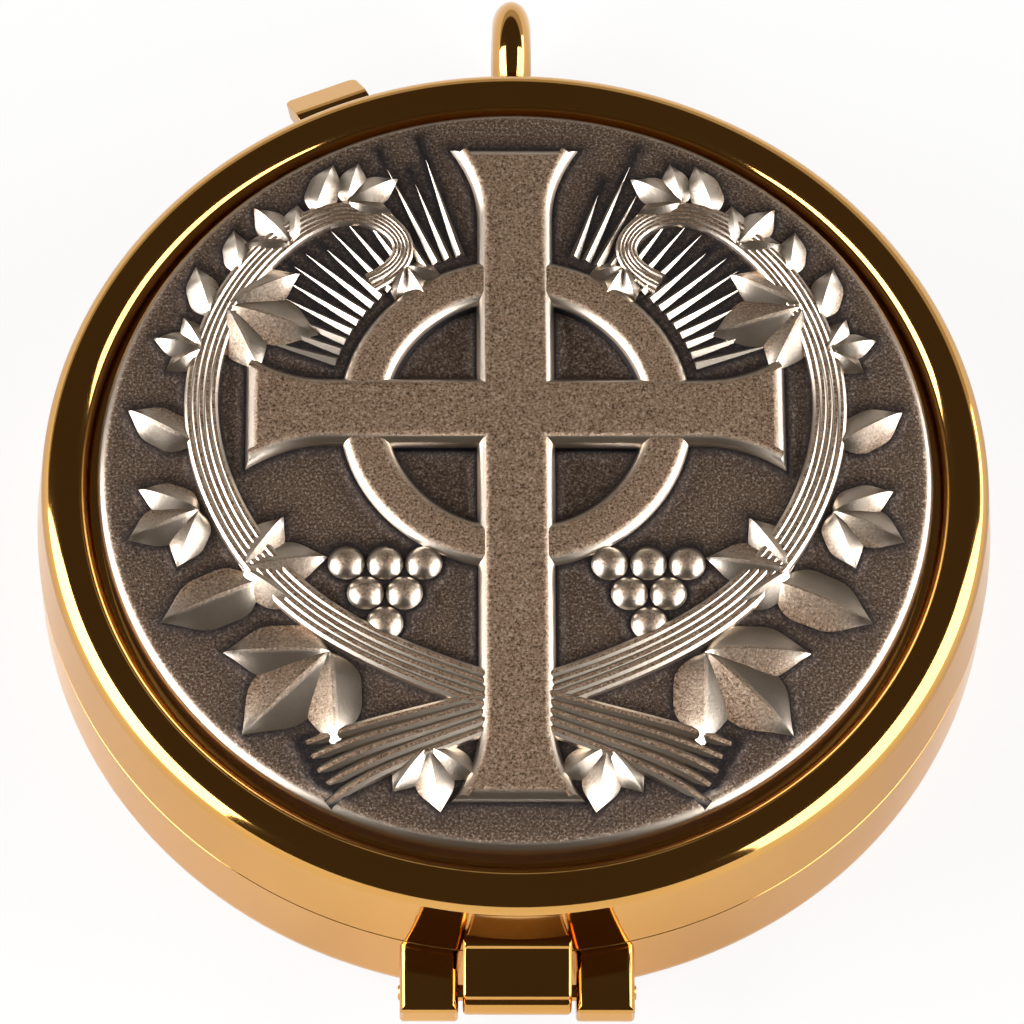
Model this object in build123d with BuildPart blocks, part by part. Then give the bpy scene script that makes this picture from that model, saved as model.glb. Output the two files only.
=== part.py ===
# Hinged pocket pyx in gilt brass, with a cast pewter medallion set in the lid.
# Millimetres. Origin at the centre of the underside, +Z up, hinge at -Y, cord loop at +Y.
import os
from math import cos, radians, sin, tan

from build123d import *

# Case: a shallow base and a lid that meet at the parting line
case_radius = 27.0  # outside, at the parting line
base_height = 6.6
lid_height = 5.4
base_wall = 1.1
floor_thickness = 1.2
base_edge_radius = 1.8  # rounding of the lower edge
edge_break = 0.2  # small chamfers at the parting line
parting_gap = 0.05  # between the two halves when shut

# Collar: ring that lines the base, which the lid closes over
collar_wall = 0.7
collar_rise = 1.6  # height above the edge of the base
lid_clearance = 0.15  # radial, lid over collar
seat_gap = 0.02  # braze film between pieces joined on a curved wall

# Lid: side wall with draft, half-round bead round the top, recess inside the bead
lid_draft = 0.4  # how much narrower the wall is where the bead begins
bead_radius = 1.4
recess_depth = 1.5  # below the crest of the bead
lid_plate = 0.9

# Medallion: disc that stands proud of the bead
medallion_groove = 0.4  # dark gap between bead and medallion
medallion_thickness = 1.8
medallion_edge = 0.5  # chamfer round the face

# Relief: wheel cross with flared ends, two vine stems that cross at its foot, leaves and grapes
cross_height = 0.75
cross_bevel = 0.3
cross_bar = 4.2
cross_lift = 3.5  # the crossing, above the centre
cross_up = 17.2  # arms, from the crossing
cross_down = 24.2
cross_side = 15.2
flare_width = 7.4
flare_depth = 4.6
flare_angle = 71.0
ring_radius = 8.6
ring_width = 2.6
ring_height = 0.6
stem_height = 0.55
stem_width = 2.0
stem_root = (-10.4, -18.2)
stem_crossing = (0, -14.6)
stem_low = (12.0, -9.2)
stem_side = (18.2, 5.0)
stem_top = (11.2, 16.6)
stem_tip = (6.0, 13.4)
leaf_height = 0.45
leaf_lobe = 0.58  # width of a lobe, of its length
leaf_spread = 46.0  # degrees between lobes
leaf_side = 0.84  # side lobes, of the middle one's length
leaf_places = (  # stalk end, heading in degrees, length; each has a twin across the shaft
    (10.3, -11.5, -47, 6.2),
    (17.4, -2.8, -25, 4.2),
    (16.4, 10.3, 199, 6.0),
    (4.9, -17.4, -100, 3.6),
    (9.6, 17.0, 150, 3.2),
    (15.2, -6.5, 170, 4.6),
)
berry_radius = 1.22
berry_crown = 0.6  # radius at the top
berry_height = 0.7
berry_pitch = 2.15
berry_rows = 3
bunch_top = (7.3, -6.0)

# Hinge: two lugs on the base, one knuckle on the lid, one pin
pin_radius = 0.45
pin_fit = 0.01  # radial, tight in the lugs
knuckle_fit = 0.05  # radial, free in the knuckle
pin_offset = 1.75  # outside the case wall
pin_drop = 1.35  # below the edge of the base
pin_head = 0.1  # proud of the lugs at each end
knuckle_radius = 1.2
knuckle_width = 5.95
knuckle_gap = 0.25  # knuckle to lug, each side
lug_width = 3.2
lug_above = 1.0  # pin axis to the top of a lug
lug_below = 1.25  # pin axis to the underside at the front
lug_front = 1.45  # pin axis to the front of a lug
lug_foot = 1.4  # extra depth of the lug where it meets the wall
lug_round = 0.9
lug_edge = 0.45
strap_rise = 1.3  # parting line to the top of the strap
strap_foot = 0.4  # parting line to the underside of the strap
strap_lip = 0.8  # pin axis to the front edge of the strap
strap_lip_rise = 1.2  # pin axis to the top of that edge
strap_edge = 0.62  # thickness at the front edge
strap_break = 0.2  # rounding of that edge

# Cord loop
loop_radius = 4.1
loop_bore = 1.7
loop_thickness = 2.3
loop_bevel = 0.6  # outer edges of the eye
loop_bore_break = 0.35
loop_foot_radius = 1.1
loop_floor_gap = 0.2  # loop above the surface that the case stands on

# Thumb tab
tab_angle = 22.4  # degrees round the case from the loop
tab_width = 4.4
tab_reach = 2.6  # beyond the case radius
tab_ledge = 0.6  # level part next to the wall
tab_plate = 0.9
tab_rise = 3.2  # parting line to the top of the tab at the wall
tab_slope = 40.0  # degrees below level
tab_nose_round = 0.3

# Heights and radii that follow
lid_bottom = base_height + parting_gap
case_height = base_height + lid_height
base_bore = case_radius - base_wall
lid_bore = base_bore + lid_clearance
wall_top_radius = case_radius - lid_draft
bead_middle = wall_top_radius - bead_radius
bead_bore = bead_middle - bead_radius
bead_foot = case_height - bead_radius
recess_floor = case_height - recess_depth
lid_ceiling = recess_floor - lid_plate
medallion_radius = bead_bore - medallion_groove
medallion_face = recess_floor + medallion_thickness
pin_y = -(case_radius + pin_offset)
pin_z = base_height - pin_drop
lug_inner = knuckle_width / 2 + knuckle_gap
hinge_half = lug_inner + lug_width
wall_bite = base_wall  # overlap of a blank with the wall, before it is cut to the wall's curve

os.makedirs("parts", exist_ok=True)

# Base: flat floor, rounded lower edge, plain wall
with BuildPart() as base_shell:
    with BuildSketch(Plane.XZ) as base_profile:
        with BuildLine():
            Polyline(
                (0, 0),
                (case_radius, 0),
                (case_radius, base_height),
                (base_bore, base_height),
                (base_bore, floor_thickness),
                (0, floor_thickness),
                close=True,
            )
        make_face()
        outer_corners = base_profile.vertices().group_by(Axis.X)[-1].sort_by(Axis.Y)
        fillet(outer_corners[0], base_edge_radius)
        rim_corner = base_profile.vertices().group_by(Axis.X)[-1].sort_by(Axis.Y)[-1]
        chamfer(rim_corner, edge_break)
    revolve(axis=Axis.Z)
base_shell.part.label = "base_shell"

# Collar: thin ring seated on the floor, with a lead-in round its top
with BuildPart() as base_collar:
    with BuildSketch(Plane.XY.offset(floor_thickness)):
        Circle(base_bore - seat_gap)
        Circle(base_bore - seat_gap - collar_wall, mode=Mode.SUBTRACT)
    extrude(amount=base_height + collar_rise - floor_thickness)
    top_edges = base_collar.faces().sort_by(Axis.Z)[-1].edges()
    chamfer(top_edges, edge_break)
base_collar.part.label = "base_collar"

# Lid: drafted wall, half-round bead and recess in one turned piece
with BuildPart() as lid_shell:
    with BuildSketch(Plane.XZ) as lid_profile:
        with BuildLine():
            Polyline(
                (bead_bore, bead_foot),
                (bead_bore, recess_floor),
                (0, recess_floor),
                (0, lid_ceiling),
                (lid_bore, lid_ceiling),
                (lid_bore, lid_bottom),
                (case_radius, lid_bottom),
                (wall_top_radius, bead_foot),
            )
            ThreePointArc((wall_top_radius, bead_foot), (bead_middle, case_height), (bead_bore, bead_foot))
        make_face()
        chamfer(lid_profile.vertices().sort_by(Axis.X)[-1], edge_break)
    revolve(axis=Axis.Z)
lid_shell.part.label = "lid_shell"

# The lid's outer form grown by the braze film, for cutting what is joined to its wall
with BuildPart() as lid_form:
    with BuildSketch(Plane.XZ):
        with BuildLine():
            Polyline(
                (0, lid_bottom - base_wall),
                (case_radius + seat_gap, lid_bottom - base_wall),
                (case_radius + seat_gap, lid_bottom),
                (wall_top_radius + seat_gap, bead_foot),
                (0, bead_foot),
                close=True,
            )
        make_face()
    revolve(axis=Axis.Z)

# Vine leaf along +X from its stalk end: a middle lobe and two side lobes
def leaf_outline(length):
    with BuildSketch(mode=Mode.PRIVATE) as leaf:
        for turn, share in ((0, 1), (leaf_spread, leaf_side), (-leaf_spread, leaf_side)):
            reach = length * share
            with BuildSketch(mode=Mode.PRIVATE) as lobe:
                with BuildLine():
                    ThreePointArc((0, 0), (reach / 2, reach * leaf_lobe / 2), (reach, 0))
                    ThreePointArc((reach, 0), (reach / 2, -reach * leaf_lobe / 2), (0, 0))
                make_face()
            add(lobe.sketch.rotate(Axis.Z, turn))
    return leaf.sketch


# Medallion: disc with a softened edge and the main forms of its relief
with BuildPart() as medallion:
    with BuildSketch(Plane.XY.offset(recess_floor)):
        Circle(medallion_radius)
    extrude(amount=medallion_thickness)
    chamfer(medallion.faces().sort_by(Axis.Z)[-1].edges(), medallion_edge)
    with BuildSketch(Plane.XY.offset(medallion_face)):
        with Locations((0, cross_lift + (cross_up - cross_down) / 2)):
            Rectangle(cross_bar, cross_up + cross_down)
        with Locations((0, cross_lift)):
            Rectangle(2 * cross_side, cross_bar)
        for turn, arm in ((180, cross_up), (0, cross_down), (-90, cross_side), (90, cross_side)):
            heading = radians(turn - 90)
            out = arm - flare_depth / 2
            with Locations(Location((out * cos(heading), out * sin(heading) + cross_lift), turn)):
                Trapezoid(flare_width, flare_depth, flare_angle)
    extrude(amount=cross_height)
    chamfer(medallion.faces().sort_by(Axis.Z)[-1].edges(), cross_bevel)
    with BuildSketch(Plane.XY.offset(medallion_face)):
        with Locations((0, cross_lift)):
            Circle(ring_radius + ring_width / 2)
            Circle(ring_radius - ring_width / 2, mode=Mode.SUBTRACT)
    extrude(amount=ring_height)
    with BuildSketch(Plane.XY.offset(medallion_face)):
        with BuildLine() as stem:
            ThreePointArc(stem_root, stem_crossing, stem_low)
            TangentArc(stem_low, stem_side, tangent=stem.line.edges()[-1] % 1)
            TangentArc(stem_side, stem_top, tangent=stem.line.edges()[-1] % 1)
            TangentArc(stem_top, stem_tip, tangent=stem.line.edges()[-1] % 1)
        trace(line_width=stem_width)
        mirror(about=Plane.YZ)
    extrude(amount=stem_height)
    for x, y, heading, length in leaf_places:
        with BuildSketch(Plane.XY.offset(medallion_face)):
            with Locations(Location((x, y), heading)):
                add(leaf_outline(length))
            mirror(about=Plane.YZ)
        extrude(amount=leaf_height)
    for row in range(berry_rows):
        count = berry_rows - row
        down = row * berry_pitch * sin(radians(60))
        for place in range(count):
            across = bunch_top[0] + (place - (count - 1) / 2) * berry_pitch
            berry = (across, bunch_top[1] - down, medallion_face)
            twin = (-across, bunch_top[1] - down, medallion_face)
            with Locations(berry, twin):
                Cone(berry_radius, berry_crown, berry_height, align=(Align.CENTER, Align.CENTER, Align.MIN))
medallion.part.label = "medallion"

# Hinge pin
with BuildPart() as hinge_pin:
    with BuildSketch(Plane.YZ.offset(-hinge_half - pin_head)):
        with Locations((pin_y, pin_z)):
            Circle(pin_radius)
    extrude(amount=2 * (hinge_half + pin_head))
    pin_ends = hinge_pin.edges().filter_by(GeomType.CIRCLE)
    chamfer(pin_ends, pin_head)
hinge_pin.part.label = "hinge_pin"


# Lug: square block with a rounded toe, cut to the curve of the base
def make_lug(name, start):
    with BuildPart() as lug:
        with BuildSketch(Plane.YZ.offset(start)):
            with BuildLine():
                Polyline(
                    (-case_radius + wall_bite, pin_z + lug_above),
                    (pin_y - lug_front, pin_z + lug_above),
                    (pin_y - lug_front, pin_z - lug_below),
                    (-case_radius, pin_z - lug_below - lug_foot),
                    (-case_radius + wall_bite, pin_z - lug_below - lug_foot),
                    close=True,
                )
            make_face()
        extrude(amount=lug_width)
        front = lug.faces().sort_by(Axis.Y)[0]
        toe = front.edges().filter_by(Axis.X).sort_by(Axis.Z)[0]
        fillet(toe, lug_round)
        top = lug.faces().sort_by(Axis.Z)[-1]
        rounded = top.edges().filter_by(Axis.Y) + top.edges().filter_by(Axis.X).sort_by(Axis.Y)[:1]
        fillet(rounded, lug_edge)
        with BuildSketch(Plane.YZ.offset(start)):
            with Locations((pin_y, pin_z)):
                Circle(pin_radius + pin_fit)
        extrude(amount=lug_width, mode=Mode.SUBTRACT)
        with BuildSketch(Plane.XY):
            Circle(case_radius + seat_gap)
        extrude(amount=case_height, mode=Mode.SUBTRACT)
    lug.part.label = name
    return lug.part


hinge_lugs = {
    "hinge_lug_left": make_lug("hinge_lug_left", -hinge_half),
    "hinge_lug_right": make_lug("hinge_lug_right", lug_inner),
}

# Lid leaf: sloping strap from the lid's wall down to a round knuckle on the pin
with BuildPart() as lid_hinge_leaf:
    strap_front = pin_y - strap_lip
    strap_top = base_height + strap_rise
    lip_top = pin_z + strap_lip_rise
    with BuildSketch(Plane.YZ.offset(-knuckle_width / 2)) as leaf_profile:
        with BuildLine():
            Polyline(
                (-case_radius + wall_bite, strap_top),
                (-case_radius, strap_top),
                (strap_front, lip_top),
                (strap_front, lip_top - strap_edge),
                (pin_y, pin_z),
                (pin_y + knuckle_radius, pin_z),
                (-case_radius - strap_foot, base_height + strap_foot),
                (-case_radius + wall_bite, base_height + strap_foot),
                close=True,
            )
        make_face()
        fillet(leaf_profile.vertices().group_by(Axis.X)[0].sort_by(Axis.Y)[-1], strap_break)
        with Locations((pin_y, pin_z)):
            Circle(knuckle_radius)
    extrude(amount=knuckle_width)
    with BuildSketch(Plane.YZ.offset(-knuckle_width / 2)):
        with Locations((pin_y, pin_z)):
            Circle(pin_radius + knuckle_fit)
    extrude(amount=knuckle_width, mode=Mode.SUBTRACT)
    add(lid_form.part, mode=Mode.SUBTRACT)
lid_hinge_leaf.part.label = "lid_hinge_leaf"

# Cord loop: bevelled eye that stands on a short foot, hole across the case
with BuildPart() as cord_loop:
    loop_y = case_radius + loop_radius
    loop_z = loop_radius + loop_floor_gap
    with BuildSketch(Plane.XY.offset(loop_z)) as loop_section:
        with Locations((0, case_radius + (loop_radius - loop_bore) / 2)):
            Rectangle(loop_thickness, loop_radius - loop_bore)
        outer_edges = loop_section.vertices().group_by(Axis.Y)[0]
        bore_edges = loop_section.vertices().group_by(Axis.Y)[-1]
        chamfer(outer_edges, loop_bevel)
        chamfer(bore_edges, loop_bore_break)
    revolve(axis=Axis((0, loop_y, loop_z), (1, 0, 0)))
    with BuildSketch(Plane.XZ.offset(-case_radius + wall_bite)):
        with Locations((0, loop_z)):
            Circle(loop_foot_radius)
    extrude(amount=-(wall_bite + (loop_radius - loop_bore) / 2))
    with BuildSketch(Plane.XY):
        Circle(case_radius + seat_gap)
    extrude(amount=case_height, mode=Mode.SUBTRACT)
cord_loop.part.label = "cord_loop"

# Thumb tab: sloping plate brazed to the lid's wall, with a rounded nose
tab_heading = radians(90 + tab_angle)
tab_plane = Plane(
    origin=(0, 0, 0),
    x_dir=(cos(tab_heading), sin(tab_heading), 0),
    z_dir=(sin(tab_heading), -cos(tab_heading), 0),
)
with BuildPart() as thumb_tab:
    tab_end = case_radius + tab_reach
    tab_top = base_height + tab_rise
    tab_nose = tab_top - (tab_reach - tab_ledge) * tan(radians(tab_slope))
    tab_under = tab_top - tab_plate / cos(radians(tab_slope))
    with BuildSketch(tab_plane) as tab_profile:
        with BuildLine():
            Polyline(
                (case_radius - wall_bite, tab_under),
                (case_radius, tab_under),
                (
                    tab_end - tab_plate * sin(radians(tab_slope)),
                    tab_nose - tab_plate * cos(radians(tab_slope)),
                ),
                (tab_end, tab_nose),
                (case_radius + tab_ledge, tab_top),
                (case_radius - wall_bite, tab_top),
                close=True,
            )
        make_face()
        fillet(tab_profile.vertices().sort_by(Axis.X)[-2:], tab_nose_round)
    extrude(amount=tab_width / 2, both=True)
    add(lid_form.part, mode=Mode.SUBTRACT)
thumb_tab.part.label = "thumb_tab"

for piece in (
    base_shell.part,
    base_collar.part,
    lid_shell.part,
    medallion.part,
    hinge_pin.part,
    lid_hinge_leaf.part,
    cord_loop.part,
    thumb_tab.part,
    *hinge_lugs.values(),
):
    export_step(piece, f"parts/{piece.label}.step")
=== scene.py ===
import math

import bmesh
import bpy
from mathutils import Matrix, Vector
from mathutils.bvhtree import BVHTree


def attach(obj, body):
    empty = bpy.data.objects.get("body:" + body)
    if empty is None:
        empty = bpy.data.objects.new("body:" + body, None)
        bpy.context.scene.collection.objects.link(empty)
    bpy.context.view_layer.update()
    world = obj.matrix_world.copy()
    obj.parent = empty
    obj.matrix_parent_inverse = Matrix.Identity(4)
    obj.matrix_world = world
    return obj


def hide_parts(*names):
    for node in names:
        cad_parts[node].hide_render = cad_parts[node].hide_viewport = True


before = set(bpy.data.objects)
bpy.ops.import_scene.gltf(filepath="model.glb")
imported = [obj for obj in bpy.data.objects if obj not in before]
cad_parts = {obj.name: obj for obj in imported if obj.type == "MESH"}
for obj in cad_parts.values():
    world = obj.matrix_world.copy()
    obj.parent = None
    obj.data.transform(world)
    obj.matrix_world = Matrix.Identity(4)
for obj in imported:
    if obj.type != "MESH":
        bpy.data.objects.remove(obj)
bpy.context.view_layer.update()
mm = 0.001
facesUp = 0.5  # a face with more than this of its normal in Z counts as facing up
print("frame loaded:", sorted(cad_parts))


def linear(hexColour):  # sRGB hex to the linear colour that a shader takes
    parts = [int(hexColour[i:i + 2], 16) / 255 for i in (1, 3, 5)]
    return [p / 12.92 if p <= 0.04045 else ((p + 0.055) / 1.055) ** 2.4 for p in parts] + [1.0]


def addNode(tree, kind, values=None, links=None, **settings):
    node = tree.nodes.new(kind)
    for key, value in settings.items():
        setattr(node, key, value)
    for socket, value in (values or {}).items():
        node.inputs[socket].default_value = value
    for socket, source in (links or {}).items():
        tree.links.new(source, node.inputs[socket])
    return node


def newMaterial(name):
    material = bpy.data.materials.new(name)
    material.use_nodes = True
    shader = material.node_tree.nodes["Principled BSDF"]
    coords = addNode(material.node_tree, "ShaderNodeTexCoord")
    return material, material.node_tree, shader, coords


def connect(tree, shader, **sources):  # shader sockets by name, with _ for a space
    for socket, source in sources.items():
        tree.links.new(source, shader.inputs[socket.replace("_", " ")])


# Gold plate on brass, buffed on a wheel: a mirror with a faint waviness and hairlines from wiping;
# the hairlines are drawn coarser than real ones, so that they show
polished = {"colour": "#dcaa62", "worn": "#d09a50", "roughness": (0.05, 0.1), "waveMm": 9, "waveDetail": 1,
            "hairlineMm": 0.12, "hairlineDetail": 3, "rippleMm": 0.015, "scratchMm": 0.0002}


def polishedGilt(name):
    material, tree, shader, coords = newMaterial(name)
    spot = {"Vector": coords.outputs["Object"]}
    wave = addNode(tree, "ShaderNodeTexNoise",
                   {"Scale": 1 / (polished["waveMm"] * mm), "Detail": polished["waveDetail"]}, spot)
    hairline = addNode(tree, "ShaderNodeTexNoise",
                       {"Scale": 1 / (polished["hairlineMm"] * mm), "Detail": polished["hairlineDetail"]},
                       spot)
    tone = addNode(tree, "ShaderNodeMix", {"A": linear(polished["colour"]), "B": linear(polished["worn"])},
                   {"Factor": wave.outputs["Fac"]}, data_type="RGBA")
    gloss = addNode(tree, "ShaderNodeMapRange",
                    {"To Min": polished["roughness"][0], "To Max": polished["roughness"][1]},
                    {"Value": hairline.outputs["Fac"]})
    ripple = addNode(tree, "ShaderNodeBump", {"Distance": polished["rippleMm"] * mm},
                     {"Height": wave.outputs["Fac"]})
    scratch = addNode(tree, "ShaderNodeBump", {"Distance": polished["scratchMm"] * mm},
                      {"Height": hairline.outputs["Fac"], "Normal": ripple.outputs["Normal"]})
    shader.inputs["Metallic"].default_value = 1.0
    connect(tree, shader, Base_Color=tone.outputs["Result"], Roughness=gloss.outputs["Result"],
            Normal=scratch.outputs["Normal"])
    return material


# Gold plate over a lathe-turned face: satin, with fine rings round the axis, drawn coarse enough to show
satin = {"colour": "#dcae68", "groove": "#c4934f", "ringMm": 0.22, "ringDetail": 2, "grooveMm": 0.012,
         "roughness": (0.26, 0.42)}


def satinGilt(name):
    material, tree, shader, coords = newMaterial(name)
    across = addNode(tree, "ShaderNodeVectorMath", {1: (1, 1, 0)}, {0: coords.outputs["Object"]},
                     operation="MULTIPLY")
    fromAxis = addNode(tree, "ShaderNodeVectorMath", links={0: across.outputs["Vector"]}, operation="LENGTH")
    rings = addNode(tree, "ShaderNodeTexNoise",
                    {"Scale": 1 / (satin["ringMm"] * mm), "Detail": satin["ringDetail"]},
                    {"W": fromAxis.outputs["Value"]}, noise_dimensions="1D")
    tone = addNode(tree, "ShaderNodeMix", {"A": linear(satin["groove"]), "B": linear(satin["colour"])},
                   {"Factor": rings.outputs["Fac"]}, data_type="RGBA")
    gloss = addNode(tree, "ShaderNodeMapRange",
                    {"To Min": satin["roughness"][1], "To Max": satin["roughness"][0]},
                    {"Value": rings.outputs["Fac"]})
    groove = addNode(tree, "ShaderNodeBump", {"Distance": satin["grooveMm"] * mm},
                     {"Height": rings.outputs["Fac"]})
    shader.inputs["Metallic"].default_value = 1.0
    connect(tree, shader, Base_Color=tone.outputs["Result"], Roughness=gloss.outputs["Result"],
            Normal=groove.outputs["Normal"])
    return material


# Antiqued pewter, cast and then buffed: dull grainy flats, bright buffed edges, dark oxide in the hollows and
# at the feet of the forms, where the same dark colour is also painted shade
pewter = {"flat": "#b2947a", "speck": "#e6d2bd", "pit": "#54443a", "buffed": "#d2c5b6", "ground": "#846d5c",
          "oxideAndShade": "#454246", "flatRoughness": 0.5, "buffedRoughness": 0.28, "oxideRoughness": 0.42,
          "grainMm": 0.15, "grainDetail": 4, "grainRoughness": 0.75, "specks": (0.52, 0.66),
          "pits": (0.47, 0.38), "reliefMm": 0.035, "buffedGrain": 0.25, "flatFacing": 0.97,
          "buffedFacing": 0.82}


def castPewter(name, tone, oxideShadeFrom):  # oxide and painted shade by an attribute, or by height between two levels in mm
    material, tree, shader, coords = newMaterial(name)
    place = addNode(tree, "ShaderNodeSeparateXYZ", links={"Vector": coords.outputs["Object"]})
    facing = addNode(tree, "ShaderNodeSeparateXYZ", links={"Vector": coords.outputs["Normal"]})
    slope = addNode(tree, "ShaderNodeMapRange",
                    {"From Min": pewter["flatFacing"], "From Max": pewter["buffedFacing"]},
                    {"Value": facing.outputs["Z"]})
    stored = addNode(tree, "ShaderNodeAttribute", attribute_name="polish")
    buffed = addNode(tree, "ShaderNodeMath", links={0: slope.outputs["Result"], 1: stored.outputs["Fac"]},
                     operation="MAXIMUM").outputs["Value"]
    if isinstance(oxideShadeFrom, str):
        oxideAndShade = addNode(tree, "ShaderNodeAttribute", attribute_name=oxideShadeFrom).outputs["Fac"]
    else:
        oxideAndShade = addNode(tree, "ShaderNodeMapRange",
                        {"From Min": oxideShadeFrom[1] * mm, "From Max": oxideShadeFrom[0] * mm},
                        {"Value": place.outputs["Z"]}).outputs["Result"]
    grain = addNode(tree, "ShaderNodeTexNoise",
                    {"Scale": 1 / (pewter["grainMm"] * mm), "Detail": pewter["grainDetail"],
                     "Roughness": pewter["grainRoughness"]},
                    {"Vector": coords.outputs["Object"]})
    speck = addNode(tree, "ShaderNodeMapRange",
                    {"From Min": pewter["specks"][0], "From Max": pewter["specks"][1]},
                    {"Value": grain.outputs["Fac"]})
    pit = addNode(tree, "ShaderNodeMapRange", {"From Min": pewter["pits"][0], "From Max": pewter["pits"][1]},
                  {"Value": grain.outputs["Fac"]})
    speckled = addNode(tree, "ShaderNodeMix", {"A": linear(tone), "B": linear(pewter["speck"])},
                       {"Factor": speck.outputs["Result"]}, data_type="RGBA")
    flat = addNode(tree, "ShaderNodeMix", {"B": linear(pewter["pit"])},
                   {"Factor": pit.outputs["Result"], "A": speckled.outputs["Result"]}, data_type="RGBA")
    bright = addNode(tree, "ShaderNodeMix", {"B": linear(pewter["buffed"])},
                     {"Factor": buffed, "A": flat.outputs["Result"]}, data_type="RGBA")
    # the dark colour is oxide in the hollows and painted shade at the feet of the forms
    colour = addNode(tree, "ShaderNodeMix", {"B": linear(pewter["oxideAndShade"])},
                     {"Factor": oxideAndShade, "A": bright.outputs["Result"]}, data_type="RGBA")
    dull = addNode(tree, "ShaderNodeMapRange",
                   {"To Min": pewter["flatRoughness"], "To Max": pewter["buffedRoughness"]},
                   {"Value": buffed})
    gloss = addNode(tree, "ShaderNodeMix", {"B": pewter["oxideRoughness"]},
                    {"Factor": oxideAndShade, "A": dull.outputs["Result"]})
    depth = addNode(tree, "ShaderNodeMapRange", {"To Min": 1.0, "To Max": pewter["buffedGrain"]},
                    {"Value": buffed})
    height = addNode(tree, "ShaderNodeMath", links={0: grain.outputs["Fac"], 1: depth.outputs["Result"]},
                     operation="MULTIPLY")
    bump = addNode(tree, "ShaderNodeBump", {"Distance": pewter["reliefMm"] * mm},
                   {"Height": height.outputs["Value"]})
    shader.inputs["Metallic"].default_value = 1.0
    connect(tree, shader, Base_Color=colour.outputs["Result"], Roughness=gloss.outputs["Result"],
            Normal=bump.outputs["Normal"])
    return material


# Medallion's ground, mm up from the table; oxide climbs the forms a set height above it, as painted shade at
# their feet too, and the counters are the hollows inside the ring
medal = {"radius": 23.4, "seat": 10.5, "ground": 12.3, "edgeRound": 0.7, "bury": 0.25, "oxideShadeUpTo": 0.16,
         "counterDrop": 0.4, "counterOxide": 0.3, "swell": 0.14, "swellReach": 0.4, "oxideShadeReach": 0.55,
         "rings": 120, "steps": 420}
giltPolished = polishedGilt("giltBrassPolished")
giltSatin = satinGilt("giltBrassSatin")
# the relief's lowest band goes dark: oxide, and painted shade where the forms meet the ground
pewterRelief = castPewter("pewterCastRelief", pewter["flat"],
                          (medal["ground"], medal["ground"] + medal["oxideShadeUpTo"]))
pewterGround = castPewter("pewterCastGround", pewter["ground"], "patina")
print("metals mixed")

meshing = {"mergeMm": 1e-4, "sharpDeg": 35}


def wireProfile(points, segments=6):  # points are (across, up, round) in mm; a round bevels the corner
    bm = bmesh.new()
    verts = [bm.verts.new((x * mm, 0, z * mm)) for x, z, _ in points]
    for start, end in zip(verts, verts[1:]):
        bm.edges.new((start, end))
    for vert, (_, _, corner) in zip(verts, points):
        if corner:
            bmesh.ops.bevel(bm, geom=[vert], offset=corner * mm, segments=segments, profile=0.5,
                            affect="VERTICES", material=-1)
    return bm


def turn(bm, steps, centre=(0, 0, 0), axis=(0, 0, 1)):
    bmesh.ops.spin(bm, geom=bm.verts[:] + bm.edges[:], cent=centre, axis=axis, dvec=(0, 0, 0),
                   angle=math.tau, steps=steps, use_merge=True)
    bmesh.ops.remove_doubles(bm, verts=bm.verts[:], dist=meshing["mergeMm"] * mm)
    bmesh.ops.recalc_face_normals(bm, faces=bm.faces[:])


def finishPiece(bm, name, body, slot, materials, *cadNodes):
    mesh = bpy.data.meshes.new(name)
    bm.to_mesh(mesh)
    bm.free()
    mesh.shade_smooth()
    mesh.set_sharp_from_angle(angle=math.radians(meshing["sharpDeg"]))
    for material in materials:
        mesh.materials.append(material)
    piece = bpy.data.objects.new(name, mesh)
    bpy.context.scene.collection.objects.link(piece)
    piece.modifiers.new("evenShading", "WEIGHTED_NORMAL").keep_sharp = True
    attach(piece, body)
    if cadNodes:
        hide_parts(*cadNodes)
    return piece


# Case, turned: sizes in mm from the axis and up from the table
case = {"radius": 27.0, "baseTop": 6.6, "lidBottom": 6.65, "baseBore": 25.9, "lidBore": 26.05,
        "floorTop": 1.2, "lowerEdge": 1.8, "partingEdge": 0.07, "boreEdge": 0.1, "floorCove": 0.3,
        "steps": 256}
lid = {"top": 12.0, "wallTop": 26.6, "beadRadius": 1.4, "recess": 10.5, "ceiling": 9.6, "ceilingCove": 0.4,
       "ceilingBand": 0.1, "beadSteps": 40}
collar = {"outer": 25.88, "inner": 25.18, "top": 8.2, "edge": 0.2, "edgeSteps": 3}

bm = wireProfile([
    (0, case["floorTop"], 0),
    (case["baseBore"], case["floorTop"], case["floorCove"]),
    (case["baseBore"], case["baseTop"], case["boreEdge"]),
    (case["radius"], case["baseTop"], case["partingEdge"]),
    (case["radius"], 0, case["lowerEdge"]),
    (0, 0, 0),
])
turn(bm, case["steps"])
satinRadius = (case["baseBore"] - case["floorCove"]) * mm
for face in bm.faces:
    onFloor = face.normal.z > facesUp and face.calc_center_median().xy.length < satinRadius
    face.material_index = int(onFloor)
finishPiece(bm, "baseShell", "base", "gilt", (giltPolished, giltSatin), "base_shell")

bm = wireProfile([
    (collar["outer"], case["floorTop"], 0),
    (collar["outer"], collar["top"], collar["edge"]),
    (collar["inner"], collar["top"], collar["edge"]),
    (collar["inner"], case["floorTop"], 0),
    (collar["outer"], case["floorTop"], 0),
], segments=collar["edgeSteps"])
turn(bm, case["steps"])
finishPiece(bm, "collarRing", "base", "gilt", (giltPolished,), "base_collar")

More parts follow.
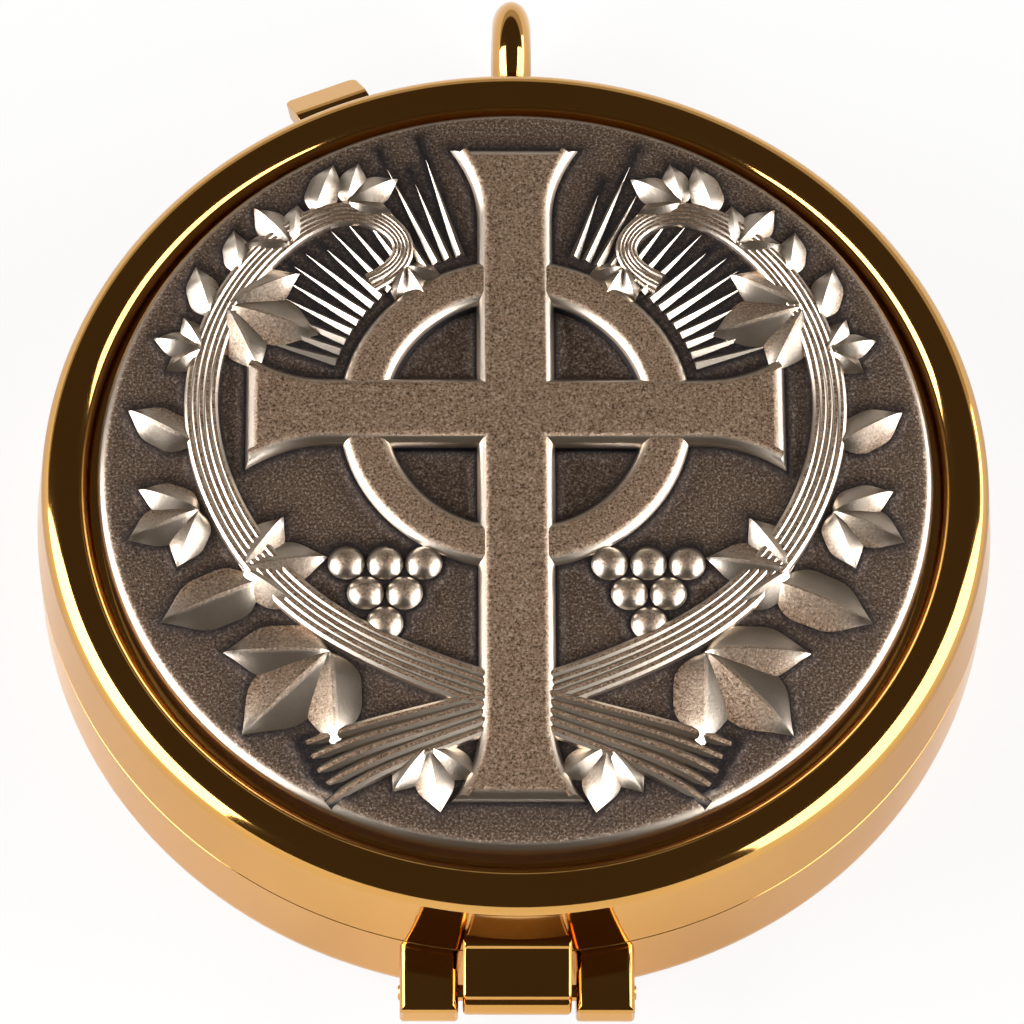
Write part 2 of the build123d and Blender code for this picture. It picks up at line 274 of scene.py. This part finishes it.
beadMiddle = lid["wallTop"] - lid["beadRadius"]
beadFoot = lid["top"] - lid["beadRadius"]
beadTurns = [math.pi * (1 - i / lid["beadSteps"]) for i in range(lid["beadSteps"] + 1)]
bead = [(beadMiddle + lid["beadRadius"] * math.cos(a), beadFoot + lid["beadRadius"] * math.sin(a), 0)
        for a in beadTurns]
bm = wireProfile([
    (0, lid["recess"], 0),
    (beadMiddle - lid["beadRadius"], lid["recess"], 0),
    *bead,
    (case["radius"], case["lidBottom"], case["partingEdge"]),
    (case["lidBore"], case["lidBottom"], case["boreEdge"]),
    (case["lidBore"], lid["ceiling"], lid["ceilingCove"]),
    (0, lid["ceiling"], 0),
])
turn(bm, case["steps"])
satinFrom = (lid["ceiling"] - lid["ceilingBand"]) * mm
for face in bm.faces:
    onCeiling = face.normal.z < -facesUp and face.calc_center_median().z > satinFrom
    face.material_index = int(onCeiling)
finishPiece(bm, "lidShell", "lid", "gilt", (giltPolished, giltSatin), "lid_shell")
print("case turned")


def blockFromSide(outline, start, width):  # outline of (y, z) in mm, drawn out along X
    bm = bmesh.new()
    verts = [bm.verts.new((start * mm, y * mm, z * mm)) for y, z in outline]
    face = bm.faces.new(verts)
    grown = bmesh.ops.extrude_face_region(bm, geom=[face])
    moved = [g for g in grown["geom"] if isinstance(g, bmesh.types.BMVert)]
    bmesh.ops.translate(bm, verts=moved, vec=(width * mm, 0, 0))
    bmesh.ops.recalc_face_normals(bm, faces=bm.faces[:])
    return bm


def roundEdges(bm, chosen, radius, segments=5, sharperThan=0):  # chosen takes the two ends of an edge, mm
    edges = [e for e in bm.edges if chosen(*(v.co / mm for v in e.verts))
             and e.calc_face_angle() > math.radians(sharperThan)]
    bmesh.ops.bevel(bm, geom=edges, offset=radius * mm, segments=segments, profile=0.5, affect="EDGES",
                    material=-1, clamp_overlap=True)


# Hinge: lugs on the base, strap and knuckle on the lid, one pin; y is measured out from the axis, mm
hinge = {"pinOut": 28.75, "pinUp": 5.25, "pinRadius": 0.45, "pinHead": 0.1, "lugWidth": 3.2, "lugGap": 0.25,
         "front": 1.45, "above": 1.0, "below": 1.25, "foot": 1.4, "toeRound": 0.9, "topRound": 0.45,
         "sideRound": 0.22, "lugSteps": 8, "knuckleRadius": 1.2, "knuckleWidth": 5.95, "knuckleSteps": 28,
         "strapTop": 7.9, "strapLip": 0.8, "lipRise": 1.2, "lipRound": 0.2, "strapFoot": 7.0,
         "strapStandOff": 0.4, "strapEdge": 0.36, "strapSteps": 6, "foldDown": 0.12, "foldRun": 0.15,
         "foldDrop": 0.11, "rootDepth": 0.85, "pinSteps": 40, "touch": 1e-4}
lugFront = -hinge["pinOut"] - hinge["front"]
lugTop = hinge["pinUp"] + hinge["above"]
lugToe = hinge["pinUp"] - hinge["below"]
rootY = -case["radius"] + hinge["rootDepth"]
lugInner = hinge["knuckleWidth"] / 2 + hinge["lugGap"]
hingeHalf = lugInner + hinge["lugWidth"]
strapFront = -hinge["pinOut"] - hinge["strapLip"]
lipTop = hinge["pinUp"] + hinge["lipRise"]


def isToe(a, b):
    return all(abs(p.y - lugFront) + abs(p.z - lugToe) < hinge["touch"] for p in (a, b))


def isLugTop(a, b):
    return all(abs(p.z - lugTop) < hinge["touch"] for p in (a, b)) and min(a.y, b.y) < rootY - hinge["touch"]


def isLugSide(a, b):
    return abs(a.x - b.x) < hinge["touch"] and max(a.z, b.z) < lugTop - hinge["topRound"] + hinge["touch"] \
        and max(a.y, b.y) < -case["radius"] + hinge["touch"]


def isStrapLip(a, b):
    return all(abs(p.y - strapFront) + abs(p.z - lipTop) < hinge["touch"] for p in (a, b))


def isStrapSide(a, b):
    return abs(a.x - b.x) < hinge["touch"] and max(a.y, b.y) < rootY - hinge["touch"]


for side, start in (("Left", -hingeHalf), ("Right", lugInner)):
    bm = blockFromSide([
        (rootY, lugTop), (lugFront, lugTop), (lugFront, lugToe),
        (-case["radius"], lugToe - hinge["foot"]), (rootY, lugToe - hinge["foot"]),
    ], start, hinge["lugWidth"])
    roundEdges(bm, isToe, hinge["toeRound"], hinge["lugSteps"])
    roundEdges(bm, isLugTop, hinge["topRound"], hinge["lugSteps"])
    roundEdges(bm, isLugSide, hinge["sideRound"])
    finishPiece(bm, f"hingeLug{side}", "base", "gilt", (giltPolished,), f"hinge_lug_{side.lower()}")

creaseAngle = math.acos(-hinge["strapLip"] / hinge["knuckleRadius"])
sweep = [creaseAngle + (math.tau - creaseAngle) * i / hinge["knuckleSteps"]
         for i in range(hinge["knuckleSteps"] + 1)]
strapRoot = Vector((-case["radius"], hinge["strapTop"]))
strapDown = (Vector((strapFront, lipTop)) - strapRoot).normalized()
strapIn = Vector((-strapDown.y, strapDown.x))
foldHead = strapRoot + strapDown * hinge["foldDown"]
foldFoot = strapRoot + strapDown * (hinge["foldDown"] + hinge["foldRun"]) + strapIn * hinge["foldDrop"]
outline = [(rootY, hinge["strapTop"]), strapRoot, foldHead, foldFoot, (strapFront, lipTop)]
outline += [(-hinge["pinOut"] + hinge["knuckleRadius"] * math.cos(a),
             hinge["pinUp"] + hinge["knuckleRadius"] * math.sin(a)) for a in sweep]
outline += [(-case["radius"] - hinge["strapStandOff"], hinge["strapFoot"]), (rootY, hinge["strapFoot"])]
bm = blockFromSide(outline, -hinge["knuckleWidth"] / 2, hinge["knuckleWidth"])
roundEdges(bm, isStrapLip, hinge["lipRound"], hinge["strapSteps"])
roundEdges(bm, isStrapSide, hinge["strapEdge"], hinge["strapSteps"])
finishPiece(bm, "lidHingeLeaf", "lid", "gilt", (giltPolished,), "lid_hinge_leaf")

pinEnd = hingeHalf + hinge["pinHead"]
headRadius = hinge["pinRadius"] - hinge["pinHead"]
bm = bmesh.new()
pinProfile = [(-pinEnd, 0), (-pinEnd, headRadius), (-hingeHalf, hinge["pinRadius"]),
              (hingeHalf, hinge["pinRadius"]), (pinEnd, headRadius), (pinEnd, 0)]
pinCentre = Vector((0, -hinge["pinOut"], hinge["pinUp"])) * mm
verts = [bm.verts.new(pinCentre + Vector((x, 0, r)) * mm) for x, r in pinProfile]
for first, second in zip(verts, verts[1:]):
    bm.edges.new((first, second))
turn(bm, hinge["pinSteps"], pinCentre, (1, 0, 0))
finishPiece(bm, "hingePin", "base", "gilt", (giltPolished,), "hinge_pin")
print("hinge made")

# Cord loop: oval-section eye on a short foot, mm
loop = {"radius": 4.1, "bore": 1.7, "thickness": 2.3, "depth": 3.2, "boreRound": 0.25, "boreSteps": 4,
        "floorGap": 0.2, "footRadius": 1.1, "footSteps": 48, "sectionSteps": 36, "steps": 128}
loopCentre = Vector((0, case["radius"] + loop["radius"], loop["radius"] + loop["floorGap"])) * mm
bm = bmesh.new()
sectionMiddle = loop["radius"] - loop["depth"] / 2
boreTurn = math.asin((loop["bore"] - sectionMiddle) / (loop["depth"] / 2))  # where the bore cuts the oval
turns = [boreTurn + (math.pi - 2 * boreTurn) * i / loop["sectionSteps"]
         for i in range(loop["sectionSteps"] + 1)]
section = [Vector((math.cos(a) * loop["thickness"] / 2, 0, sectionMiddle + math.sin(a) * loop["depth"] / 2))
           for a in turns]
verts = [bm.verts.new(loopCentre + spot * mm) for spot in section]
for i in range(len(verts)):
    bm.edges.new((verts[i - 1], verts[i]))
bmesh.ops.bevel(bm, geom=[verts[0], verts[-1]], offset=loop["boreRound"] * mm, segments=loop["boreSteps"],
                profile=0.5, affect="VERTICES", material=-1)
turn(bm, loop["steps"], loopCentre, (1, 0, 0))
footLength = hinge["rootDepth"] + (loop["radius"] - loop["bore"]) / 2
foot = bmesh.ops.create_cone(bm, segments=loop["footSteps"], radius1=loop["footRadius"] * mm,
                             radius2=loop["footRadius"] * mm, depth=footLength * mm, cap_ends=True)["verts"]
footSpot = Vector((0, (case["radius"] - hinge["rootDepth"] + footLength / 2) * mm, loopCentre.z))
layFoot = Matrix.Translation(footSpot) @ Matrix.Rotation(math.pi / 2, 4, "X")
bmesh.ops.transform(bm, verts=foot, matrix=layFoot)
finishPiece(bm, "cordLoop", "base", "gilt", (giltPolished,), "cord_loop")

# Thumb tab: sloping plate on the lid's wall, mm
tab = {"angle": 22.4, "width": 4.4, "reach": 2.6, "ledge": 0.6, "plate": 0.9, "top": 9.8, "slope": 40,
       "cornerRound": 0.5, "crestRound": 0.45, "roundSteps": 6, "edge": 0.28, "edgeSharperDeg": 50}
slope = math.radians(tab["slope"])
tabEnd = case["radius"] + tab["reach"]
tabNose = tab["top"] - (tab["reach"] - tab["ledge"]) * math.tan(slope)
tabUnder = tab["top"] - tab["plate"] / math.cos(slope)
bm = blockFromSide([
    (-rootY, tabUnder), (case["radius"], tabUnder),
    (tabEnd - tab["plate"] * math.sin(slope), tabNose - tab["plate"] * math.cos(slope)), (tabEnd, tabNose),
    (case["radius"] + tab["ledge"], tab["top"]), (-rootY, tab["top"]),
], -tab["width"] / 2, tab["width"])
roundEdges(bm, lambda a, b: abs(a.x - b.x) < hinge["touch"] and min(a.y, b.y) > tabEnd - tab["plate"],
           tab["cornerRound"], tab["roundSteps"])
roundEdges(bm, lambda a, b: min(a.y, b.y) > case["radius"] and min(a.z, b.z) > tab["top"] - hinge["touch"],
           tab["crestRound"], tab["roundSteps"])
roundEdges(bm, lambda a, b: min(a.y, b.y) > -rootY + hinge["touch"], tab["edge"],
           sharperThan=tab["edgeSharperDeg"])
tabTurn = Matrix.Rotation(math.radians(tab["angle"]), 3, "Z")
bmesh.ops.rotate(bm, verts=bm.verts[:], cent=(0, 0, 0), matrix=tabTurn)
finishPiece(bm, "thumbTab", "lid", "gilt", (giltPolished,), "thumb_tab")
print("loop and tab made")

# Medallion: cast in one mould, so every form stands on the same ground; mm, heights above that ground
forms = []  # finished relief, kept for the ground to swell up to


def keepForm(bm):
    forms.append(BVHTree.FromBMesh(bm))


wheelCross = {"centre": 3.5, "halfBar": 2.2, "height": 0.7, "flareHalf": 3.8, "flareLength": 4.6,
              "flareSteps": 8, "draft": 0.35, "edgeRound": 0.45, "edgeSteps": 8,
              "arms": (15.2, 17.2, 15.2, 24.2), "ringRadius": 8.6, "ringHalf": 1.3, "ringHeight": 0.58,
              "ringSteps": 160}


def crossOutline():
    points = []
    half, flare = wheelCross["halfBar"], wheelCross["flareLength"]
    shares = [i / wheelCross["flareSteps"] for i in range(wheelCross["flareSteps"] + 1)]
    for quarter, reach in enumerate(wheelCross["arms"]):
        heading = Matrix.Rotation(quarter * math.pi / 2, 2)
        edge = [(reach - flare + flare * t, half + (wheelCross["flareHalf"] - half) * t ** 2) for t in shares]
        arm = [(half, -half)] + [(a, -b) for a, b in edge] + [(a, b) for a, b in reversed(edge)]
        points += [heading @ Vector(p) + Vector((0, wheelCross["centre"])) for p in arm]
    return points


low = medal["ground"] - medal["bury"]  # where the forms end, inside the ground
bm = bmesh.new()
face = bm.faces.new([bm.verts.new((p.x * mm, p.y * mm, low * mm)) for p in crossOutline()])
grown = bmesh.ops.extrude_face_region(bm, geom=[face])
topVerts = [g for g in grown["geom"] if isinstance(g, bmesh.types.BMVert)]
bmesh.ops.translate(bm, verts=topVerts, vec=(0, 0, medal["bury"] * mm))
bmesh.ops.recalc_face_normals(bm, faces=bm.faces[:])
bmesh.ops.inset_region(bm, faces=[f for f in bm.faces if f.normal.z > facesUp],
                       thickness=wheelCross["draft"] * mm, depth=wheelCross["height"] * mm,
                       use_boundary=True, use_even_offset=True)
halfUp = (medal["ground"] + wheelCross["height"] / 2) * mm
topEdges = [e for e in bm.edges if all(v.co.z > halfUp for v in e.verts)]
bmesh.ops.bevel(bm, geom=topEdges, offset=wheelCross["edgeRound"] * mm, segments=wheelCross["edgeSteps"],
                profile=0.5, affect="EDGES", material=-1)
keepForm(bm)
finishPiece(bm, "medalCross", "lid", "pewter", (pewterRelief,))

inner, outer = (wheelCross["ringRadius"] + s * wheelCross["ringHalf"] for s in (-1, 1))
ringTop = medal["ground"] + wheelCross["ringHeight"]
lean = wheelCross["draft"] / 2
bm = wireProfile([(inner - lean, low, 0), (inner + lean, ringTop, wheelCross["edgeRound"]),
                  (outer - lean, ringTop, wheelCross["edgeRound"]), (outer + lean, low, 0),
                  (inner - lean, low, 0)], segments=wheelCross["edgeSteps"])
turn(bm, wheelCross["ringSteps"])
bmesh.ops.translate(bm, verts=bm.verts[:], vec=(0, wheelCross["centre"] * mm, 0))
keepForm(bm)
finishPiece(bm, "medalRing", "lid", "pewter", (pewterRelief,))

# Vine: two stems of several strands that pass under the cross's foot and curl in above its arms
vine = {"strands": 5, "spread": 0.5, "strandRadius": 0.4, "tipShare": 0.5, "height": 0.24, "sway": 0.1,
        "swayTurns": (3, 2.1), "shaftRadius": 0.25, "shaftReach": 3.4, "splay": 0.9, "splayShare": 0.25,
        "rootSink": 0.35, "sectionSteps": 3, "pathSteps": 8,
        "path": ((-11.2, -18.9), (-9.2, -17.9), (-5, -16.4), (0, -14.6), (7, -12), (13, -8.2), (17, -1.8),
                 (18.2, 5.4), (15.8, 12.4), (11, 16.8), (6.8, 16.2), (5.6, 13.2), (8.2, 11.8))}


def strand(bm, points, radii):  # a round tapering strand on a smooth line, added to bm
    curve = bpy.data.curves.new("strand", "CURVE")
    curve.dimensions = "3D"
    curve.bevel_depth = 1.0
    curve.bevel_resolution = vine["sectionSteps"]
    curve.resolution_u = vine["pathSteps"]
    curve.use_fill_caps = True
    spline = curve.splines.new("NURBS")
    spline.points.add(len(points) - 1)
    for point, co, radius in zip(spline.points, points, radii):
        point.co = [c * mm for c in co] + [1.0]
        point.radius = radius * mm
    spline.order_u = 4
    spline.use_endpoint_u = True
    holder = bpy.data.objects.new("strand", curve)
    mesh = bpy.data.meshes.new_from_object(holder)
    bm.from_mesh(mesh)
    bpy.data.objects.remove(holder)
    bpy.data.curves.remove(curve)
    bpy.data.meshes.remove(mesh)


bm = bmesh.new()
for side in (1, -1):  # the second stem mirrors the first
    path = [Vector((side * x, y)) for x, y in vine["path"]]
    for k in range(vine["strands"]):
        offset = k - (vine["strands"] - 1) / 2
        points, radii = [], []
        for i, spot in enumerate(path):
            ahead = path[min(i + 1, len(path) - 1)] - path[max(i - 1, 0)]
            along = i / (len(path) - 1)
            taper = 1 - (1 - vine["tipShare"]) * along
            fan = 1 + vine["splay"] * max(0, 1 - along / vine["splayShare"])  # strands splay at the root
            across = Vector((-ahead.y, ahead.x)).normalized() * offset * vine["spread"] * taper * fan
            inShaft = side > 0 and abs(spot.x) < vine["shaftReach"] and spot.y < 0  # thin, to lie inside it
            height, radius = vine["height"], vine["strandRadius"] * taper
            if i == 0:
                height = -vine["rootSink"]
            elif inShaft:
                radius = vine["shaftRadius"]
            else:
                height += vine["sway"] * math.sin(vine["swayTurns"][0] * i + vine["swayTurns"][1] * k)
            points.append((spot.x + across.x, spot.y + across.y, medal["ground"] + height))
            radii.append(radius)
        strand(bm, points, radii)
keepForm(bm)
finishPiece(bm, "medalVine", "lid", "pewter", (pewterRelief,))

# Vine leaves: broad lobes that meet at the stalk, each with a midrib, one flank buffed; each leaf has a twin
leafStyle = {"lobes": ((0, 1.0), (46, 0.84), (-46, 0.84)), "halfWidth": 0.3, "fullness": 0.8, "ridge": 0.55,
             "ridgeFall": 1.2, "ridgeDome": 0.5, "edge": 0.18, "ripple": 0.08, "rippleTurns": 11,
             "polish": 0.9, "polishFrom": 0.02, "along": 20, "across": 12, "mergeMm": 1e-3}
leafPlaces = ((10.3, -11.5, -47, 7.0), (17.6, -2.8, -25, 4.4), (16.4, 10.3, 199, 5.6),
              (4.9, -17.4, -100, 3.9), (9.6, 17.0, 150, 3.4), (15.2, -6.5, 170, 4.8), (17.6, 7.4, 15, 2.9),
              (12.6, 14.2, 48, 3.4), (6.2, 12.8, 240, 2.6))  # x, y, heading in degrees, length
blades = ((14.2, -7.2, -25, 6.0), (18.0, 1.4, 30, 4.3), (17.2, 9.6, 74, 3.4), (15.6, 12.4, 82, 2.9),
          (11.4, 16.4, 108, 3.4))


def leafLobe(bm, base, heading, length):
    grid = bmesh.ops.create_grid(bm, x_segments=leafStyle["along"], y_segments=leafStyle["across"],
                                 size=0.5)["verts"]
    polish = bm.verts.layers.float["polish"]
    for v in grid:
        u, side = v.co.x + 0.5, v.co.y * 2
        swing = max(0, math.sin(math.pi * min(1, max(0, u)) ** leafStyle["fullness"]))
        wave = 1 + leafStyle["ripple"] * math.sin(leafStyle["rippleTurns"] * u)
        halfWidth = leafStyle["halfWidth"] * length * swing * wave
        crease = (1 - abs(side)) ** leafStyle["ridgeFall"] * swing ** leafStyle["ridgeDome"]
        ridge = leafStyle["edge"] + leafStyle["ridge"] * crease
        v[polish] = leafStyle["polish"] if side > leafStyle["polishFrom"] else 0.0
        v.co = Vector((u * length, side * halfWidth, medal["ground"] + ridge)) * mm
    bmesh.ops.rotate(bm, verts=grid, cent=(0, 0, 0), matrix=Matrix.Rotation(math.radians(heading), 3, "Z"))
    bmesh.ops.translate(bm, verts=grid, vec=(base[0] * mm, base[1] * mm, 0))
    inside = set(grid)
    rim = [e for e in bm.edges if e.is_boundary and e.verts[0] in inside]
    grown = bmesh.ops.extrude_edge_only(bm, edges=rim)
    skirt = [g for g in grown["geom"] if isinstance(g, bmesh.types.BMVert)]
    for v in skirt:
        v.co.z = low * mm
    bmesh.ops.remove_doubles(bm, verts=grid + skirt, dist=leafStyle["mergeMm"] * mm)
    bmesh.ops.holes_fill(bm, edges=[e for e in bm.edges if e.is_boundary], sides=0)


bm = bmesh.new()
bm.verts.layers.float.new("polish")
for x, y, heading, length in leafPlaces:
    for turned, share in leafStyle["lobes"]:
        leafLobe(bm, (x, y), heading + turned, length * share)
        leafLobe(bm, (-x, y), 180 - heading + turned, length * share)
for x, y, heading, length in blades:
    leafLobe(bm, (x, y), heading, length)
    leafLobe(bm, (-x, y), 180 - heading, length)
bmesh.ops.recalc_face_normals(bm, faces=bm.faces[:])
keepForm(bm)
finishPiece(bm, "medalLeaves", "lid", "pewter", (pewterRelief,))

# Grapes, in two bunches
grapes = {"radius": 1.22, "pitch": 2.15, "rows": 3, "places": ((-7.3, -6.0), (7.3, -6.0)), "sink": 0.5,
          "polish": 0.25, "steps": (24, 16)}
bm = bmesh.new()
polish = bm.verts.layers.float.new("polish")
for x, y in grapes["places"]:
    for row in range(grapes["rows"]):
        for place in range(grapes["rows"] - row):
            across = (place - (grapes["rows"] - row - 1) / 2) * grapes["pitch"]
            below = row * grapes["pitch"] * math.sin(math.pi / 3)
            ball = bmesh.ops.create_uvsphere(bm, u_segments=grapes["steps"][0], v_segments=grapes["steps"][1],
                                             radius=grapes["radius"] * mm)["verts"]
            spot = Vector((x + across, y - below, medal["ground"] - grapes["sink"])) * mm
            bmesh.ops.translate(bm, verts=ball, vec=spot)
for v in bm.verts:
    v[polish] = grapes["polish"]
keepForm(bm)
finishPiece(bm, "medalGrapes", "lid", "pewter", (pewterRelief,))

# Rays between the upper arms, thin tapering ridges
rays = {"from": 10.6, "stepDeg": 3.8, "lengths": (9.4, 6.4, 8.4, 5.4), "half": 0.42, "tip": 0.08, "sides": 4,
        "polish": 0.8, "spans": ((17, 56, 16.8), (60, 73, 18.8), (107, 120, 18.8), (124, 163, 16.8))}
bm = bmesh.new()
polish = bm.verts.layers.float.new("polish")
for first, last, reach in rays["spans"]:
    for i in range(int((last - first) / rays["stepDeg"]) + 1):
        angle = math.radians(first + i * rays["stepDeg"])
        length = min(reach - rays["from"], rays["lengths"][i % len(rays["lengths"])])
        ridge = bmesh.ops.create_cone(bm, segments=rays["sides"], radius1=rays["half"] * mm,
                                      radius2=rays["tip"] * mm, depth=length * mm, cap_ends=True)["verts"]
        lay = Matrix.Rotation(angle, 4, "Z") @ Matrix.Rotation(math.pi / 2, 4, "Y")
        out = Vector((math.cos(angle), math.sin(angle), 0)) * (rays["from"] + length / 2)
        spot = (out + Vector((0, wheelCross["centre"], medal["ground"]))) * mm
        bmesh.ops.transform(bm, verts=ridge, matrix=Matrix.Translation(spot) @ lay)
for v in bm.verts:
    v[polish] = rays["polish"]
keepForm(bm)
finishPiece(bm, "medalRays", "lid", "pewter", (pewterRelief,))

# Ground: disc with a rounded rim that swells up to the forms and drops inside the ring
bm = wireProfile([(0, medal["ground"], 0), (medal["radius"], medal["ground"], medal["edgeRound"]),
                  (medal["radius"], medal["seat"], 0), (0, medal["seat"], 0)])
spoke = max((e for e in bm.edges if min(v.co.z for v in e.verts) > low * mm), key=lambda e: e.calc_length())
bmesh.ops.subdivide_edges(bm, edges=[spoke], cuts=medal["rings"])
turn(bm, medal["steps"])
patina = bm.verts.layers.float.new("patina")
for v in bm.verts:
    if v.co.z < low * mm or v.co.xy.length > (medal["radius"] - medal["edgeRound"]) * mm:
        continue
    away = min(form.find_nearest(v.co)[3] for form in forms) / mm
    fromCross = (v.co.xy / mm - Vector((0, wheelCross["centre"]))).length
    inRing = max(0.0, min(1.0, (wheelCross["ringRadius"] - fromCross) / wheelCross["ringHalf"]))
    rise = medal["swell"] * math.exp(-(away / medal["swellReach"]) ** 2) - medal["counterDrop"] * inRing
    v.co.z += rise * mm
    # the ground darkens next to every form, oxide and painted shade in the corner; the counters take oxide
    v[patina] = max(inRing * medal["counterOxide"], math.exp(-away / medal["oxideShadeReach"]))
finishPiece(bm, "medalGround", "lid", "pewter", (pewterGround,), "medallion")
print("medallion cast")

# Stage: white sweep, dark room above a pale horizon, tall panels at the sides, a low one back right; metres
stage = {"floor": "#f4f4f4", "floorRoughness": 0.9, "floorHalf": 0.8, "cameraShare": 0.85,
         "mirrorShare": 0.12, "ceiling": "#463e33", "horizon": "#c4c0ba", "horizonTop": 0.0,
         "ceilingFrom": 0.1, "glow": (-0.12, -0.28, 1)}
bm = bmesh.new()
bmesh.ops.create_grid(bm, x_segments=1, y_segments=1, size=stage["floorHalf"])
mesh = bpy.data.meshes.new("floor")
bm.to_mesh(mesh)
bm.free()
floor = bpy.data.objects.new("floor", mesh)
bpy.context.scene.collection.objects.link(floor)
floorMaterial, tree, shader, _ = newMaterial("paperSweep")
shader.inputs["Base Color"].default_value = linear(stage["floor"])
shader.inputs["Roughness"].default_value = stage["floorRoughness"]
sight = addNode(tree, "ShaderNodeLightPath")
mirrored = addNode(tree, "ShaderNodeMath",
                   links={0: sight.outputs["Is Glossy Ray"], 1: sight.outputs["Is Transmission Ray"]},
                   operation="MAXIMUM")
mirrorShare = addNode(tree, "ShaderNodeMath", {1: stage["mirrorShare"]}, {0: mirrored.outputs["Value"]},
                      operation="MULTIPLY")
share = addNode(tree, "ShaderNodeMath", {1: stage["cameraShare"]},
                {0: sight.outputs["Is Camera Ray"], 2: mirrorShare.outputs["Value"]},
                operation="MULTIPLY_ADD")
white = addNode(tree, "ShaderNodeEmission", {"Color": (1, 1, 1, 1), "Strength": 1.0})
paper = addNode(tree, "ShaderNodeMixShader", links={0: share.outputs["Value"], 1: shader.outputs["BSDF"],
                                                    2: white.outputs["Emission"]})
tree.links.new(paper.outputs["Shader"], tree.nodes["Material Output"].inputs["Surface"])
floor.data.materials.append(floorMaterial)

world = bpy.data.worlds.new("studio")
bpy.context.scene.world = world
world.use_nodes = True
tree = world.node_tree
direction = addNode(tree, "ShaderNodeTexCoord")
lift = addNode(tree, "ShaderNodeVectorMath", {1: stage["glow"]}, {0: direction.outputs["Generated"]},
               operation="DOT_PRODUCT")  # the glow reaches highest at the back, right of the middle
fade = addNode(tree, "ShaderNodeMapRange",
               {"From Min": stage["horizonTop"], "From Max": stage["ceilingFrom"]},
               {"Value": lift.outputs["Value"]}, interpolation_type="SMOOTHSTEP")
sky = addNode(tree, "ShaderNodeMix", {"A": linear(stage["horizon"]), "B": linear(stage["ceiling"])},
              {"Factor": fade.outputs["Result"]}, data_type="RGBA")
tree.links.new(sky.outputs["Result"], tree.nodes["Background"].inputs["Color"])


def panel(name, x, nearY, farY, height, radiance):  # stands on the floor and faces the case
    light = bpy.data.lights.new(name, "AREA")
    light.shape = "RECTANGLE"
    light.size = farY - nearY
    light.size_y = height
    light.energy = radiance * math.pi * light.size * light.size_y
    holder = bpy.data.objects.new(name, light)
    holder.location = (x, (nearY + farY) / 2, height / 2)
    holder.rotation_euler = Vector((x, 0, 0)).to_track_quat("Z", "Y").to_euler()
    bpy.context.scene.collection.objects.link(holder)


panels = {"leftPanel": {"x": -0.5, "nearY": -0.38, "farY": 0.2, "height": 0.48, "radiance": 8.0},
          "rightPanel": {"x": 0.5, "nearY": -0.52, "farY": 0.19, "height": 0.5, "radiance": 5.8},
          "rightBackPanel": {"x": 0.5, "nearY": 0.19, "farY": 0.36, "height": 0.11, "radiance": 5.8}}
for name, settings in panels.items():
    panel(name, **settings)

# Camera: fitted to the photograph's outline; aim is the middle of the bead's top plane
camera = {"distance": 351.7, "elevation": 61.8, "azimuth": -2.1, "focalPx": 6287.9, "rollDeg": 2.0,
          "aimPx": (516.0, 471.5), "framePx": 1024, "sensorMm": 36}
cameraData = bpy.data.cameras.new("camera")
cameraObject = bpy.data.objects.new("camera", cameraData)
bpy.context.scene.collection.objects.link(cameraObject)
azimuth, elevation, roll = (math.radians(camera[k]) for k in ("azimuth", "elevation", "rollDeg"))
back = Vector((math.sin(azimuth) * math.cos(elevation), -math.cos(azimuth) * math.cos(elevation),
               math.sin(elevation)))
right = Vector((math.cos(azimuth), math.sin(azimuth), 0))
up = back.cross(right)
rolledRight = right * math.cos(roll) + up * math.sin(roll)
rolledUp = up * math.cos(roll) - right * math.sin(roll)
matrix = Matrix((rolledRight, rolledUp, back)).transposed().to_4x4()
matrix.translation = Vector((0, 0, lid["top"] * mm)) + back * camera["distance"] * mm
cameraObject.matrix_world = matrix
cameraData.sensor_width = camera["sensorMm"]
cameraData.lens = camera["focalPx"] * camera["sensorMm"] / camera["framePx"]
cameraData.shift_x = (camera["framePx"] / 2 - camera["aimPx"][0]) / camera["framePx"]
cameraData.shift_y = (camera["aimPx"][1] - camera["framePx"] / 2) / camera["framePx"]
bpy.context.scene.camera = cameraObject
bpy.context.scene.view_settings.view_transform = "Standard"
print("stage and camera set")
